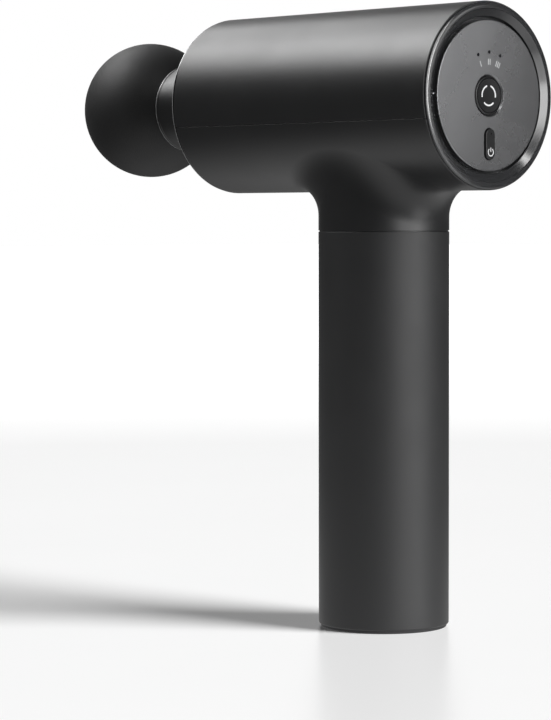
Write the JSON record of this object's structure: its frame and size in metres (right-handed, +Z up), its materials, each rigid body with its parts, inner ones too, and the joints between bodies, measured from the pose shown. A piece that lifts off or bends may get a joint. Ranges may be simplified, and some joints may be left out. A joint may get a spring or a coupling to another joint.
{
  "type": "massage gun",
  "caption": "Cordless percussion massage gun: cylindrical drive barrel with a rear control panel, upright round handle and a removable ball head.",
  "frame": {"origin": "centre of the handle's foot, on the ground", "axes": "+X from the handle towards the massage head, +Z up along the handle, +Y to the left of the head"},
  "size_m": [0.2203, 0.0702, 0.2386],
  "materials": {
    "shell": "satin dark grey moulded plastic, very fine grain",
    "handle": "matt dark grey soft-touch coating",
    "panel": "satin grey anodised plate",
    "mark": "pale grey printed inlay",
    "lens": "smoked light pipe",
    "button": "dark satin moulded key",
    "board": "green solder mask",
    "switch": "switch with a metal cover",
    "screw": "zinc-plated steel",
    "inner_plastic": "glass-filled nylon",
    "seal": "black silicone rubber",
    "cast": "machined cast aluminium",
    "bush": "low-friction polymer",
    "steel": "ground steel",
    "core": "laminated motor steel and sintered magnets",
    "copper": "enamelled copper wire and brass",
    "cell": "shrink-wrapped lithium cell",
    "wire": "silicone wire insulation",
    "head_base": "satin dark moulded plastic",
    "ball": "fine-textured matt black foam rubber"
  },
  "bodies": {
    "housing": {"upper_housing": "shell", "lower_housing": "shell", "rear_bezel": "shell", "front_cap": "shell", "handle_tube": "handle", "base_cap": "handle", "control_panel": "panel", "speed_marks": "mark", "light_pipes": "lens", "control_board": "board", "charge_board": "board", "driver_board": "board", "tact_switches": "switch", "board_parts": "switch", "bezel_screws": "screw", "board_screws": "screw", "plate_screws": "screw", "frame_screws": "screw", "clamp_screws": "screw", "motor_screws": "screw", "base_screws": "screw", "front_plate": "inner_plastic", "lower_cell_holder": "inner_plastic", "upper_cell_holder": "inner_plastic", "board_bracket": "inner_plastic", "nose_seal": "seal", "frame_dampers": "seal", "base_pad": "seal", "drive_frame": "cast", "sleeve_clamps": "cast", "motor_base": "cast", "guide_sleeve": "cast", "guide_bush": "bush", "bearing_outer_races": "steel", "bearing_balls": "steel", "charge_port": "steel", "battery_straps": "steel", "stator": "core", "windings": "copper", "battery_cells": "cell", "wires": "wire"},
    "crank": {"crank_wheel": "steel", "counterweight": "copper", "counterweight_screws": "screw", "motor_shaft": "steel", "rotor_can": "steel", "rotor_magnets": "core", "bearing_inner_races": "steel"},
    "rod": {"connecting_rod": "steel", "small_end_bush": "copper", "big_end_bearing": "steel", "crank_pin": "steel"},
    "plunger": {"piston": "cast", "wrist_pin": "steel"},
    "head": {"head_base": "head_base", "head_o_ring": "seal", "ball_core": "head_base", "ball_skin": "ball"},
    "speed_key": {"speed_button": "button"},
    "power_key": {"power_button": "button"}
  },
  "joints": [
    {"name": "motor_spin", "type": "hinge", "parent": "housing", "child": "crank", "pos_m": [0, 0, 0.2035], "axis": [0, 0, 1], "continuous": true},
    {"name": "piston_stroke", "type": "slide", "parent": "housing", "child": "plunger", "axis": [1, 0, 0], "range_m": [0, 0.012]},
    {"name": "rod_swing", "type": "hinge", "parent": "plunger", "child": "rod", "pos_m": [0.03, 0, 0.2035], "axis": [0, 0, 1], "range_deg": [-9.6, 9.6]},
    {"name": "head_release", "type": "slide", "parent": "plunger", "child": "head", "axis": [1, 0, 0], "range_m": [0, 0.03]},
    {"name": "speed_button_press", "type": "slide", "parent": "housing", "child": "speed_key", "axis": [1, 0, 0], "range_m": [0, 0.0005], "stiffness_N_per_m": 3000, "springref_m": -0.0002},
    {"name": "power_button_press", "type": "slide", "parent": "housing", "child": "power_key", "axis": [1, 0, 0], "range_m": [0, 0.0005], "stiffness_N_per_m": 3000, "springref_m": -0.0002}
  ]
}
